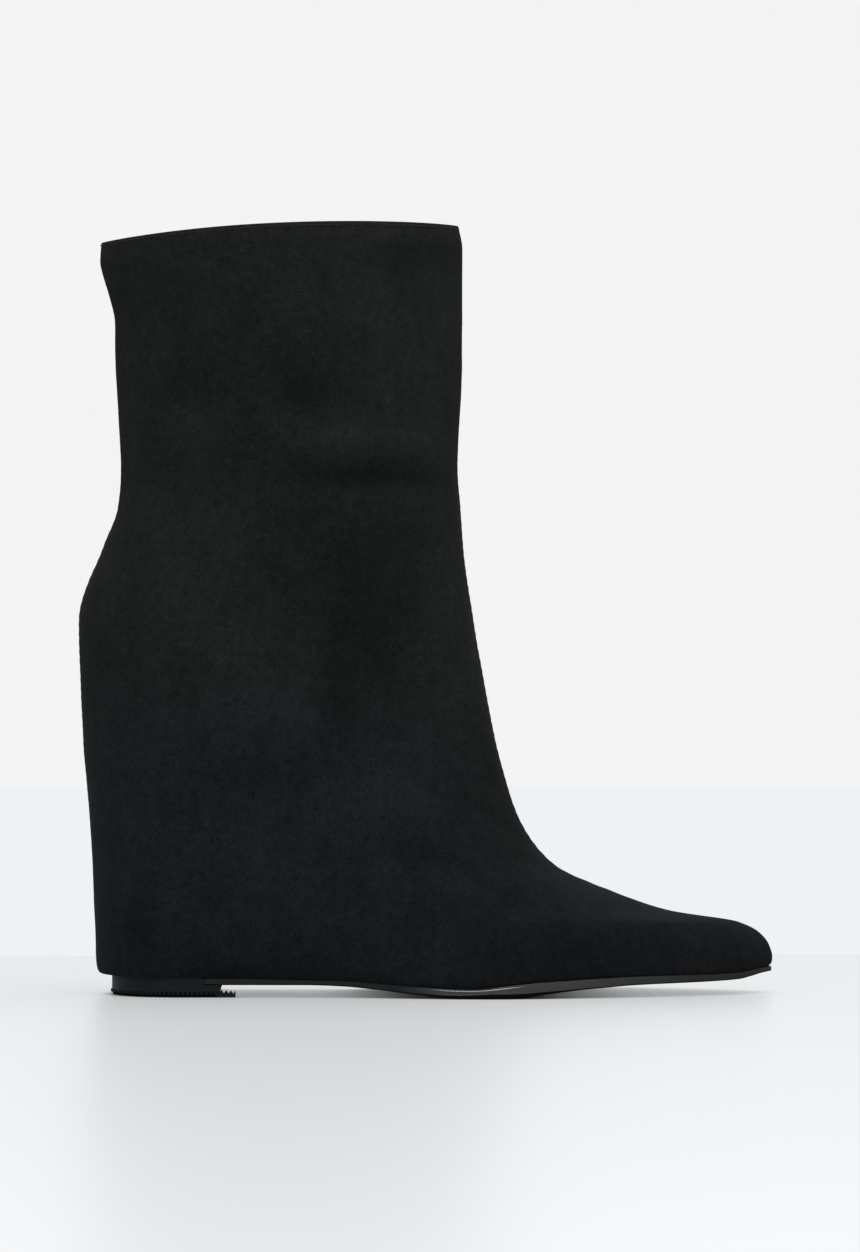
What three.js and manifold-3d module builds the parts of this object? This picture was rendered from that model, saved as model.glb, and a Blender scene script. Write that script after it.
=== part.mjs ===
// A pull-on wedge boot with a pointed toe: one suede upper drawn down over a high
// wedge, a moulded outsole that dips at the ball of the foot, and a ribbed heel lift.
// It is a right boot. Millimetres, +X towards the toe, +Y the inner side, +Z up.
import * as THREE from "three";
import { mergeVertices } from "three/addons/utils/BufferGeometryUtils.js";
import Module from "manifold-3d";

const wasm = await Module();
wasm.setup();

// Driving sizes
const soleLength = 235.4; // back of the heel to the tip of the toe, measured level
const heelHeight = 100; // floor to the seat of the heel
const bootHeight = 257.6; // floor to the middle of the collar
const toeHeight = 24.6; // floor to the top of the toe
const ballWidth = 85; // upper at the ball of the foot
const heelWidth = 62; // upper round the wedge
const ankleLength = 114.5; // front to back at the ankle
const ankleWidth = 77;
const collarLength = 122; // front to back at the collar
const collarWidth = 87.2;
const wallThickness = 2.2; // suede, its backing and the lining together
const sideSwing = 3; // how far the foot's middle line leaves a straight one
const featherHeight = 6.5; // floor to the upper's lower edge at heel and waist
const ballDip = 3.1; // how far that edge dips at the ball
const toeSpring = 2.8; // how much higher it is at the toe than at the heel
const waistClearance = 4.1; // floor to the outsole under the waist
const toeEdge = 1.5; // thickness of the outsole's edge at the toe
const outsoleLip = 0.9; // how far the outsole stands out under the forefoot
const outsoleRounding = 1.5; // its lower corner
const insoleThickness = 3;
const liftLength = 38.6; // back of the heel lift to the top of its front face
const liftUndercut = 1.5; // how far that face slants back on its way down
const liftHollow = 9; // how far its front is hollowed between the two corners
const liftCorner = 1.5; // width of the flat left at each corner
const treadHeight = 2.4; // the ribbed band round the foot of the lift
const treadLip = 3.6; // how far the band runs ahead of the lift at its outer corner
const ribPitch = 1.56;
const ribDepth = 0.45;
const tongueOverlap = 6.8; // the outsole's rear end lies in a step of the lift
const gap = 0.3; // between pieces that touch
const liningGap = 0.5; // between the upper and the pieces inside it

// Heights are stations: 0 the lower edge, 1 the top of the toe, 2 the seat of the
// heel, 3 the collar.
const STATION_HEIGHTS = [featherHeight, toeHeight, heelHeight, bootHeight];

// The side view. A section runs from the back of the boot to its front: the x of its
// back and its length as shares of its zone's length, the heights of its back, ball and
// front as stations, and how much of the lower edge's dip and spring it takes.
const SIDE_COLUMNS = ["back", "long", "backAt", "ballAt", "frontAt", "edge"];
const SIDE = {
  foot: [
    [0.0463, 0.9486, 0.0, 0.0, 0.0, 1.0],
    [0.0305, 0.9674, 0.038, 0.033, 0.03, 1.0],
    [0.0265, 0.9731, 0.13, 0.105, 0.09, 0.95],
    [0.0248, 0.9752, 0.31, 0.254, 0.2, 0.84],
    [0.0234, 0.9715, 0.89, 0.586, 0.45, 0.65],
    [0.0212, 0.9584, 1.105, 0.862, 0.735, 0.4],
    [0.0195, 0.9321, 1.237, 1.015, 0.955, 0.12],
    [0.0174, 0.8322, 1.368, 1.073, 1.045, 0.0],
    [0.0144, 0.7481, 1.5, 1.158, 1.138, 0.0],
    [0.011, 0.6751, 1.63, 1.276, 1.25, 0.0],
    [0.0072, 0.6308, 1.763, 1.447, 1.434, 0.0],
    [0.0042, 0.6032, 1.934, 1.724, 1.711, 0.0],
    [0.0, 0.5705, 2.162, 2.153, 2.146, 0.0],
  ],
  ankle: [
    [0.0331, 1.0707, 2.318, 2.318, 2.318, 0.0],
    [0.0548, 1.0175, 2.408, 2.408, 2.408, 0.0],
    [0.0595, 1.0, 2.497, 2.497, 2.497, 0.0],
  ],
  collar: [
    [0.0518, 0.9664, 2.708, 2.716, 2.722, 0.0],
    [0.0502, 0.9696, 2.806, 2.832, 2.852, 0.0],
    [0.0297, 1.0098, 2.935, 2.952, 2.964, 0.0],
    [0.0323, 0.992, 2.9754, 2.9968, 3.0142, 0.0],
  ],
};

// The same sections from above: from heelCentre to foreCentre a section has its full
// width and beyond them its ends close in. Both are shares of the section's length, the
// half widths shares of the zone's, and an end of 0.5 is an ellipse, of 1 a point.
const PLAN_COLUMNS = ["heelCentre", "foreCentre", "heel", "fore", "backEnd", "frontEnd"];
const PLAN = {
  foot: [
    [0.105, 0.545, 0.855, 0.958, 0.5, 0.72],
    [0.115, 0.545, 0.935, 0.98, 0.5, 0.72],
    [0.121, 0.545, 0.98, 0.996, 0.5, 0.72],
    [0.125, 0.545, 1.0, 1.0, 0.5, 0.71],
    [0.125, 0.545, 1.0, 0.99, 0.5, 0.7],
    [0.128, 0.545, 0.995, 0.965, 0.5, 0.69],
    [0.133, 0.545, 0.985, 0.93, 0.5, 0.66],
    [0.152, 0.55, 0.98, 0.88, 0.5, 0.61],
    [0.17, 0.549, 0.975, 0.86, 0.5, 0.58],
    [0.19, 0.562, 0.97, 0.83, 0.5, 0.54],
    [0.21, 0.568, 0.97, 0.8, 0.5, 0.52],
    [0.24, 0.556, 0.995, 0.775, 0.5, 0.5],
    [0.3, 0.536, 1.06, 0.79, 0.52, 0.52],
  ],
  ankle: [
    [0.42, 0.507, 0.945, 0.945, 0.62, 0.62],
    [0.46, 0.503, 0.975, 0.975, 0.69, 0.67],
    [0.49, 0.5, 1.0, 1.0, 0.74, 0.72],
  ],
  collar: [
    [0.49, 0.5, 0.935, 0.935, 0.83, 0.83],
    [0.49, 0.5, 0.965, 0.965, 0.87, 0.87],
    [0.49, 0.5, 0.99, 0.99, 0.88, 0.88],
    [0.49, 0.5, 1.0, 1.0, 0.88, 0.88],
  ],
};

// The foot's middle line seen from above, at shares of the sole's length.
const SWING_AT = [0, 0.2, 0.42, 0.58, 0.72, 0.86, 1];
const SWING = [0, -0.15, -1, -0.55, 0.55, 0.85, 0.35];

// The upper's lower edge: it dips to the ball and rises to the toe. Shares of the sole's
// length, of the dip, and of the dip and the toe spring together.
const DIP_AT = [0, 0.22, 0.3, 0.38, 0.44, 0.49, 0.55, 1];
const DIP = [0, 0, 0.08, 0.2, 0.55, 0.79, 1, 1];
const SPRING_AT = [0, 0.56, 0.58, 0.61, 0.65, 0.7, 0.75, 0.79, 0.85, 0.91, 0.945, 0.97, 1];
const SPRING = [0, 0, 0.05, 0.18, 0.33, 0.44, 0.54, 0.6, 0.62, 0.63, 0.68, 0.82, 1];

// The outsole's underside: it clears the floor at the waist, is flat at the ball and
// rises to the toe. Shares of the sole's length, the waist's clearance and the tip's.
const WAIST_AT = [0, 0.325, 0.38, 0.416, 0.437, 0.466, 0.494, 0.522, 0.545];
const WAIST_RISE = [1, 1, 0.9, 0.72, 0.6, 0.4, 0.25, 0.1, 0];
const TOE_AT = [0.61, 0.63, 0.65, 0.69, 0.72, 0.75, 0.78, 0.82, 0.9, 0.945, 0.965, 0.98, 1];
const TOE_RISE = [0, 0.04, 0.12, 0.28, 0.38, 0.45, 0.52, 0.565, 0.62, 0.685, 0.81, 0.92, 1];

// The foot bed: how high it stands over the forefoot, as a share of the seat's height.
const BED_AT = [0, 0.036, 0.11, 0.19, 0.263, 0.34, 0.425, 0.49, 0.55, 0.62, 0.7, 1];
const BED_RISE = [1.01, 1, 0.975, 0.93, 0.82, 0.63, 0.395, 0.225, 0.105, 0.03, 0, 0];
const WEDGE_END = 0.56; // the wedge's thin front edge, as a share of the sole's length

const BALL_AT = 0.61; // the ball of the foot, as a share of the sole's length
const WAIST_END = 0.34; // where the sole starts to widen towards the ball
const SIDE_STEPS = 26; // facets along each side of a section
const END_CROWDING = 0.85; // how strongly its facets crowd towards the two ends
const SOLE_STEPS = 50;
const LOOPS_PER_SECTION = 2;
const HOLLOW_STEPS = 6; // facets of the lift's hollow front, each side of its middle
const HOLLOW_POWER = 4; // how flat the hollow is in the middle
const FILLING_REACH = 1.4; // how far up the inside is worked out, as heel heights
const CORNER_REACH = 0.3; // how far round the sole's lower corner its middle line lies
const CORNER_LIMIT = 0.6; // most of the sole's edge that the corner takes
const VALLEY_WIDTH = 0.6; // of the lip's valleys, as a share of the ribs' pitch
const VALLEY_FLOOR = 0.45; // and their lowest height, as a share of the band's
const LIP_VALLEYS = 3;
const SAME_POINT = 1e-4;
const PATH_MARGIN = 1e-3; // keeps a direction off the very ends of a path

// A smooth curve through the points, with no overshoot between them.
function curve(xs, ys) {
  const slopes = xs.slice(1).map((x, i) => (ys[i + 1] - ys[i]) / (x - xs[i]));
  const tangents = xs.map((_, i) => {
    const before = slopes[Math.max(i - 1, 0)];
    const after = slopes[Math.min(i, slopes.length - 1)];
    return before * after <= 0 ? 0 : (2 * before * after) / (before + after);
  });
  return (x) => {
    const clamped = Math.min(Math.max(x, xs[0]), xs.at(-1));
    const i = Math.max(xs.findIndex((right) => right >= clamped) - 1, 0);
    const width = xs[i + 1] - xs[i];
    const t = (clamped - xs[i]) / width;
    const [a, b] = [tangents[i] * width, tangents[i + 1] * width];
    const change = ys[i + 1] - ys[i];
    return ys[i] + t * (a + t * (3 * change - 2 * a - b + t * (a + b - 2 * change)));
  };
}

const smoothStep = (t) => {
  const s = Math.min(Math.max(t, 0), 1);
  return s * s * (3 - 2 * s);
};

function stationHeight(at) {
  const i = Math.min(Math.floor(at), STATION_HEIGHTS.length - 2);
  return THREE.MathUtils.lerp(STATION_HEIGHTS[i], STATION_HEIGHTS[i + 1], at - i);
}

const closing = (share, end) => (1 - Math.min(share * share, 1)) ** end;

// What the shares of each zone are shares of
const ZONES = {
  foot: { length: soleLength, heel: heelWidth / 2, fore: ballWidth / 2 },
  ankle: { length: ankleLength, heel: ankleWidth / 2, fore: ankleWidth / 2 },
  collar: { length: collarLength, heel: collarWidth / 2, fore: collarWidth / 2 },
};

// The tables in millimetres, one object for each section from the lower edge upwards.
function sectionRows() {
  return Object.entries(ZONES).flatMap(([zone, size]) =>
    SIDE[zone].map((sideRow, i) => {
      const side = Object.fromEntries(SIDE_COLUMNS.map((c, n) => [c, sideRow[n]]));
      const plan = Object.fromEntries(PLAN_COLUMNS.map((c, n) => [c, PLAN[zone][i][n]]));
      return {
        back: side.back * soleLength,
        front: side.back * soleLength + side.long * size.length,
        backZ: stationHeight(side.backAt),
        ballZ: stationHeight(side.ballAt),
        frontZ: stationHeight(side.frontAt),
        edge: side.edge,
        ...plan,
        heel: plan.heel * size.heel,
        fore: plan.fore * size.fore,
      };
    }),
  );
}

const rows = sectionRows();
const rowNumbers = rows.map((_, i) => i);
const columns = Object.fromEntries(
  Object.keys(rows[0]).map((name) => [name, curve(rowNumbers, rows.map((r) => r[name]))]),
);
const swingAt = curve(SWING_AT, SWING);
const dipAt = curve(DIP_AT, DIP);
const springAt = curve(SPRING_AT, SPRING);
const edgeRise = (x) =>
  (ballDip + toeSpring) * springAt(x / soleLength) - ballDip * dipAt(x / soleLength);

// The section at a row number, which may lie between two rows: its height and its inner
// and outer side at any x.
function section(row) {
  const s = Object.fromEntries(Object.keys(columns).map((c) => [c, columns[c](row)]));
  const length = s.front - s.back;
  const heelCentre = s.back + s.heelCentre * length;
  const foreCentre = s.back + s.foreCentre * length;
  const height = curve([0, BALL_AT, 1], [s.backZ, s.ballZ, s.frontZ]);
  const z = (x) => height((x - s.back) / length) + s.edge * edgeRise(x);
  const halfWidth = (x) => {
    const widening = smoothStep((x / soleLength - WAIST_END) / (BALL_AT - WAIST_END));
    const full = THREE.MathUtils.lerp(s.heel, s.fore, widening);
    const behind = Math.max((heelCentre - x) / (heelCentre - s.back), 0);
    const ahead = Math.max((x - foreCentre) / (s.front - foreCentre), 0);
    return full * closing(behind, s.backEnd) * closing(ahead, s.frontEnd);
  };
  const middle = (x) => {
    const fade = 1 - smoothStep((z(x) - featherHeight) / (heelHeight - featherHeight));
    return sideSwing * fade * swingAt(x / soleLength);
  };
  return { ...s, z, halfWidth, middle };
}

// A closed loop round a section, counter-clockwise from above, starting at the toe.
function loopOf(s, steps) {
  const place = (x, side) => new THREE.Vector3(x, s.middle(x) + side * s.halfWidth(x), s.z(x));
  const inner = [];
  const outer = [];
  for (let i = 1; i < steps; i++) {
    const crowded = (1 + Math.cos((i / steps) * Math.PI)) / 2;
    const share = THREE.MathUtils.lerp(1 - i / steps, crowded, END_CROWDING);
    const x = THREE.MathUtils.lerp(s.back, s.front, share);
    inner.push(place(x, 1));
    outer.unshift(place(x, -1));
  }
  return [place(s.front, 0), ...inner, place(s.back, 0), ...outer];
}

// Triangles between two loops of n points, the second one further along.
function band(n, first, second) {
  const faces = [];
  for (let j = 0; j < n; j++) {
    const k = (j + 1) % n;
    faces.push([first + j, first + k, second + k], [first + j, second + k, second + j]);
  }
  return faces;
}

// Triangles across a loop, from its inner side to its outer side.
function cap(n, first, facingUp) {
  const faces = [];
  const half = n / 2;
  for (let j = 0; j < half; j++) {
    const [a, b] = [first + j, first + j + 1];
    const [c, d] = [first + n - j - 1, first + ((n - j) % n)];
    if (j > 0) faces.push([a, b, d]);
    if (j < half - 1) faces.push([b, c, d]);
  }
  return facingUp ? faces : faces.map(([a, b, c]) => [a, c, b]);
}

function geometryOf(points, faces) {
  const geometry = new THREE.BufferGeometry().setFromPoints(points);
  geometry.setIndex(faces.flat());
  return geometry;
}

// A closed solid through loops that follow each other upwards.
function loft(loops) {
  const n = loops[0].length;
  const faces = [
    ...cap(n, 0, false),
    ...loops.slice(1).flatMap((_, i) => band(n, i * n, (i + 1) * n)),
    ...cap(n, (loops.length - 1) * n, true),
  ];
  return geometryOf(loops.flat(), faces);
}

// Joins and cuts, on geometry whose shared vertices are merged
function solid(geometry) {
  const bare = geometry.index ? geometry.toNonIndexed() : geometry.clone();
  bare.deleteAttribute("normal");
  bare.deleteAttribute("uv");
  const merged = mergeVertices(bare, SAME_POINT);
  const vertProperties = merged.attributes.position.array;
  const triVerts = new Uint32Array(merged.index.array);
  return new wasm.Manifold(new wasm.Mesh({ numProp: 3, vertProperties, triVerts }));
}

function geometryFrom(manifold) {
  const { vertProperties, triVerts } = manifold.getMesh();
  const geometry = new THREE.BufferGeometry();
  geometry.setAttribute("position", new THREE.BufferAttribute(vertProperties, 3));
  geometry.setIndex(new THREE.BufferAttribute(triVerts, 1));
  return geometry;
}

function block(from, to) {
  const size = to.map((value, i) => value - from[i]);
  const box = new THREE.BoxGeometry(...size);
  return solid(box.translate(...from.map((value, i) => value + size[i] / 2)));
}

// A side-view outline drawn through the whole width of the boot
function throughWidth(points) {
  const reach = ballWidth + collarWidth;
  const shape = new THREE.Shape(points.map(([x, z]) => new THREE.Vector2(x, z)));
  const slab = new THREE.ExtrudeGeometry(shape, { depth: reach, bevelEnabled: false });
  return solid(slab.rotateX(Math.PI / 2).translate(0, reach / 2, 0));
}

// The upper's form: loops of the outer face from the lower edge to the collar, and the
// directions that point out of it.
function upperLoops() {
  const last = rows.length - 1;
  const stops = [0, 1, 2];
  for (let i = 3 * LOOPS_PER_SECTION; i <= last * LOOPS_PER_SECTION; i++) {
    stops.push(i / LOOPS_PER_SECTION);
  }
  return stops.map((row) => loopOf(section(row), SIDE_STEPS));
}

const outerLoops = upperLoops();
const around = outerLoops[0].length;

function outwardDirections() {
  const faces = outerLoops.slice(1).flatMap((_, i) => band(around, i * around, (i + 1) * around));
  const sheet = geometryOf(outerLoops.flat(), faces);
  sheet.computeVertexNormals();
  const normals = sheet.attributes.normal;
  return outerLoops.map((loop, i) =>
    loop.map((_, j) => new THREE.Vector3().fromBufferAttribute(normals, i * around + j)),
  );
}

const outward = outwardDirections();

function insetLoops(distance) {
  const inset = (p, direction) => p.clone().addScaledVector(direction, -distance);
  return outerLoops.map((loop, i) => loop.map((p, j) => inset(p, outward[i][j])));
}

function makeUpper() {
  const innerLoops = insetLoops(wallThickness);
  const count = outerLoops.length;
  const innerStart = count * around;
  const faces = [];
  for (let i = 0; i < count - 1; i++) {
    faces.push(...band(around, i * around, (i + 1) * around));
    faces.push(...band(around, innerStart + (i + 1) * around, innerStart + i * around));
  }
  faces.push(...band(around, (count - 1) * around, innerStart + (count - 1) * around));
  faces.push(...band(around, innerStart, 0));
  return geometryOf([...outerLoops.flat(), ...innerLoops.flat()], faces);
}

// What fills the upper from inside: it reaches down through the lower opening to the
// outsole, and up past the seat of the heel.
function makeFilling() {
  const inside = insetLoops(wallThickness + liningGap);
  const rim = insetLoops(wallThickness)[0].map((p, j) => {
    const level = outward[0][j].clone().setZ(0).normalize();
    return p.clone().addScaledVector(level, -gap);
  });
  const foot = rim.map((p, j) => p.clone().setZ(outerLoops[0][j].z));
  const above = inside.filter((loop) => loop[0].z < heelHeight * FILLING_REACH);
  return solid(loft([foot, rim, ...above]));
}

// The foot bed's top and underside in the side view
const feather = section(0);
const bedRise = curve(BED_AT, BED_RISE);

function bedLine(depth) {
  const top = (x) => {
    const forefoot = feather.z(x) + insoleThickness;
    return forefoot + bedRise(x / soleLength) * (heelHeight - featherHeight - insoleThickness);
  };
  const step = soleLength / SOLE_STEPS;
  const points = [];
  for (let i = 0; i <= SOLE_STEPS; i++) {
    const x = step * i;
    const slope = (top(x + step / 4) - top(x - step / 4)) / (step / 2);
    const normal = new THREE.Vector2(-slope, 1).normalize();
    points.push([x - depth * normal.x, top(x) - depth * normal.y]);
  }
  const [first, final] = [points[0], points.at(-1)];
  return [[first[0] - soleLength, first[1]], ...points, [final[0] + soleLength, final[1]]];
}

function makeInsole(filling) {
  const slice = [...bedLine(insoleThickness), ...bedLine(0).reverse()];
  return geometryFrom(filling.intersect(throughWidth(slice)));
}

function makeWedge(filling) {
  const top = bedLine(insoleThickness + gap);
  const below = [...top, [top.at(-1)[0], -heelHeight], [top[0][0], -heelHeight]];
  const behind = block(
    [-soleLength, -ballWidth, -heelHeight],
    [WEDGE_END * soleLength, ballWidth, bootHeight],
  );
  return geometryFrom(filling.intersect(throughWidth(below.reverse())).intersect(behind));
}

// The sole's outline: the upper's lower edge, moved out by a distance that may change
// along the boot.
function soleOutline(distanceAt) {
  const edge = loopOf(feather, SOLE_STEPS);
  return edge.map((p, i) => {
    const before = edge[(i + edge.length - 1) % edge.length];
    const after = edge[(i + 1) % edge.length];
    const out = new THREE.Vector2(after.y - before.y, before.x - after.x).normalize();
    const distance = distanceAt(p.x / soleLength);
    return new THREE.Vector2(p.x + out.x * distance, p.y + out.y * distance);
  });
}

const liftFront = rows[0].back + liftLength;
const tongueBack = liftFront - tongueOverlap;
const waistRise = curve(WAIST_AT, WAIST_RISE);
const toeRise = curve(TOE_AT, TOE_RISE);
const tipClearance = featherHeight + toeSpring - gap - toeEdge;
const underside = (x) =>
  waistClearance * waistRise(x / soleLength) + tipClearance * toeRise(x / soleLength);

function makeOutsole() {
  const lipAt = (share) => outsoleLip * smoothStep((share - WAIST_END) / (BALL_AT - WAIST_END));
  const outline = soleOutline(lipAt);
  const corner = soleOutline((share) => lipAt(share) - outsoleRounding * CORNER_REACH);
  const bottom = soleOutline((share) => lipAt(share) - outsoleRounding);
  const top = (x) => feather.z(x) - gap;
  const rounding = (x) => Math.min(outsoleRounding, (top(x) - underside(x)) * CORNER_LIMIT);
  const at = (line, height) => line.map((p) => new THREE.Vector3(p.x, p.y, height(p.x)));
  const sheet = solid(
    loft([
      at(bottom, underside),
      at(corner, (x) => underside(x) + rounding(x) * CORNER_REACH),
      at(outline, (x) => underside(x) + rounding(x)),
      at(outline, top),
    ]),
  );
  const ahead = block(
    [tongueBack, -ballWidth, -featherHeight],
    [soleLength * 2, ballWidth, heelHeight],
  );
  return geometryFrom(sheet.intersect(ahead));
}

// The part of the sole's outline behind x, from the inner side round the heel to the
// outer side, with its two ends exactly at x.
function heelPath(x) {
  const line = soleOutline(() => -gap);
  const path = line.filter((p) => p.x < x);
  const cross = (p, q) => p.clone().lerp(q, (x - p.x) / (q.x - p.x));
  const first = line.indexOf(path[0]);
  const last = line.indexOf(path.at(-1));
  return [cross(line[first], line[first - 1]), ...path, cross(line[last], line[last + 1])];
}

// The same path with ribs of one pitch along it
function ribbedPath(x) {
  const path = new THREE.CurvePath();
  const corners = heelPath(x);
  corners.slice(1).forEach((p, i) => path.add(new THREE.LineCurve(corners[i], p)));
  const count = Math.round(path.getLength() / ribPitch) * 2;
  const points = [];
  for (let i = 0; i <= count; i++) {
    const here = path.getPointAt(i / count);
    const tangent = path.getTangentAt(
      THREE.MathUtils.clamp(i / count, PATH_MARGIN, 1 - PATH_MARGIN),
    );
    const out = new THREE.Vector2(tangent.y, -tangent.x).normalize();
    points.push(here.addScaledVector(out, i % 2 ? ribDepth : 0));
  }
  return points;
}

const upright = (outline, from, to) => {
  const plate = new THREE.ExtrudeGeometry(new THREE.Shape(outline), {
    depth: to - from,
    bevelEnabled: false,
  });
  return solid(plate.translate(0, 0, from));
};

// What is cut away ahead of the lift: it ends in a shallow hollow between the corners.
function aheadOfLift(front) {
  const half = feather.halfWidth(front) - gap - liftCorner;
  const centre = feather.middle(front);
  const outline = [
    new THREE.Vector2(front + liftHollow, centre + half),
    new THREE.Vector2(front + liftHollow, centre - half),
  ];
  for (let i = -HOLLOW_STEPS; i <= HOLLOW_STEPS; i++) {
    const share = i / HOLLOW_STEPS;
    const depth = liftHollow * (1 - share ** HOLLOW_POWER);
    outline.push(new THREE.Vector2(front - depth, centre + share * half));
  }
  return upright(outline.reverse(), -heelHeight, heelHeight);
}

function makeLift() {
  const top = featherHeight - gap;
  const foot = liftFront - liftUndercut;
  const treadFront = liftFront + treadLip;
  const body = upright(heelPath(liftFront), treadHeight / 2, top);
  const slant = throughWidth([
    [liftFront, top],
    [treadFront, top],
    [treadFront, treadHeight / 2],
    [foot, treadHeight / 2],
    [foot, treadHeight],
  ]);
  const step = block(
    [tongueBack - gap, -ballWidth, underside(tongueBack) - gap],
    [soleLength, ballWidth, heelHeight],
  );
  const tread = upright(ribbedPath(treadFront), 0, treadHeight);
  const valleys = Array.from({ length: LIP_VALLEYS }, (_, i) => {
    const x = treadFront - ribPitch * (i + 1);
    const reach = (ribPitch * VALLEY_WIDTH) / 2;
    return throughWidth([
      [x - reach, treadHeight + gap],
      [x, treadHeight * VALLEY_FLOOR],
      [x + reach, treadHeight + gap],
    ]);
  });
  const innerLip = block([foot, feather.middle(foot), -gap], [soleLength, ballWidth, heelHeight]);
  const grooved = valleys.reduce((kept, valley) => kept.subtract(valley), tread);
  const whole = grooved.subtract(innerLip).add(body.subtract(slant).subtract(step));
  return geometryFrom(whole.subtract(aheadOfLift(treadFront)));
}

function material(color, roughness) {
  return new THREE.MeshStandardMaterial({ color, roughness, metalness: 0 });
}

const suede = material(0x17191a, 0.95);
const blackRubber = material(0x15171a, 0.45);
const soleBlack = material(0x101114, 0.32);
const foam = material(0xb9b4aa, 0.9);
const sock = material(0x1c1b1a, 0.7);

function named(name, geometry, finish) {
  const mesh = new THREE.Mesh(geometry, finish);
  mesh.name = name;
  return mesh;
}

const filling = makeFilling();
const boot = new THREE.Group();
boot.add(
  named("upper", makeUpper(), suede),
  named("insole", makeInsole(filling), sock),
  named("wedge", makeWedge(filling), foam),
  named("outsole", makeOutsole(), soleBlack),
  named("heel_lift", makeLift(), blackRubber),
);

// The origin is on the floor, under the middle of the boot's box.
const extent = new THREE.Box3().setFromObject(boot);
const middle = extent.getCenter(new THREE.Vector3());
boot.position.set(-middle.x, -middle.y, -extent.min.z);

const part = new THREE.Group();
part.add(boot);
export default part;
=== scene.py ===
import math
import bpy
import numpy as np
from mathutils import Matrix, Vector, noise


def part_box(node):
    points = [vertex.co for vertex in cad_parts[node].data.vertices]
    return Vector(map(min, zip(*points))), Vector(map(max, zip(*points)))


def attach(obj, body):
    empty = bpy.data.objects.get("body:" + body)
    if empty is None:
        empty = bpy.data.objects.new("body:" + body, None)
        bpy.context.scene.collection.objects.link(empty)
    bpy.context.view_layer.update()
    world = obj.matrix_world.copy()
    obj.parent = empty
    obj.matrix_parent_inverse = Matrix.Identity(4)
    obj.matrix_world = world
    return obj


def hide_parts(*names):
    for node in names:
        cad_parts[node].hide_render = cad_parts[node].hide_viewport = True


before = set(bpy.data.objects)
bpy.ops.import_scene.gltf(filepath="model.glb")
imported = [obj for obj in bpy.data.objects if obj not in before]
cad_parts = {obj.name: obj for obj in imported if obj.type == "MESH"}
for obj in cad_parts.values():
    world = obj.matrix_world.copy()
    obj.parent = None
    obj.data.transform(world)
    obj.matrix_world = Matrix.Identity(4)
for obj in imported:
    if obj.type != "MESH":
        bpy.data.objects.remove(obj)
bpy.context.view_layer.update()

# The boot's form repeats the sizes and sections of the solids, in millimetres: x from
# the backmost point towards the toe, y towards the inner side, z from the floor.
SOLE_LENGTH = 235.4
HEEL_HEIGHT = 100
BOOT_HEIGHT = 257.6
TOE_HEIGHT = 24.6
BALL_WIDTH = 85
HEEL_WIDTH = 62
ANKLE_LENGTH = 114.5
ANKLE_WIDTH = 77
COLLAR_LENGTH = 122
COLLAR_WIDTH = 87.2
WALL = 2.2
SIDE_SWING = 3
FEATHER_HEIGHT = 6.5
BALL_DIP = 3.1
TOE_SPRING = 2.8
WAIST_CLEARANCE = 4.1
TIP_CLEARANCE = 7.5
OUTSOLE_LIP = 0.9
LIFT_FRONT = 49.5
LIFT_UNDERCUT = 1.5
LIFT_HOLLOW = 9
LIFT_CORNER = 1.5
TREAD_HEIGHT = 2.4
TREAD_LIP = 3.6
TONGUE_BACK = 42.7
GAP = 0.3
BALL_AT = 0.61
WAIST_END = 0.34
END_CROWDING = 0.85
STATION_HEIGHTS = [FEATHER_HEIGHT, TOE_HEIGHT, HEEL_HEIGHT, BOOT_HEIGHT]

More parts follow.
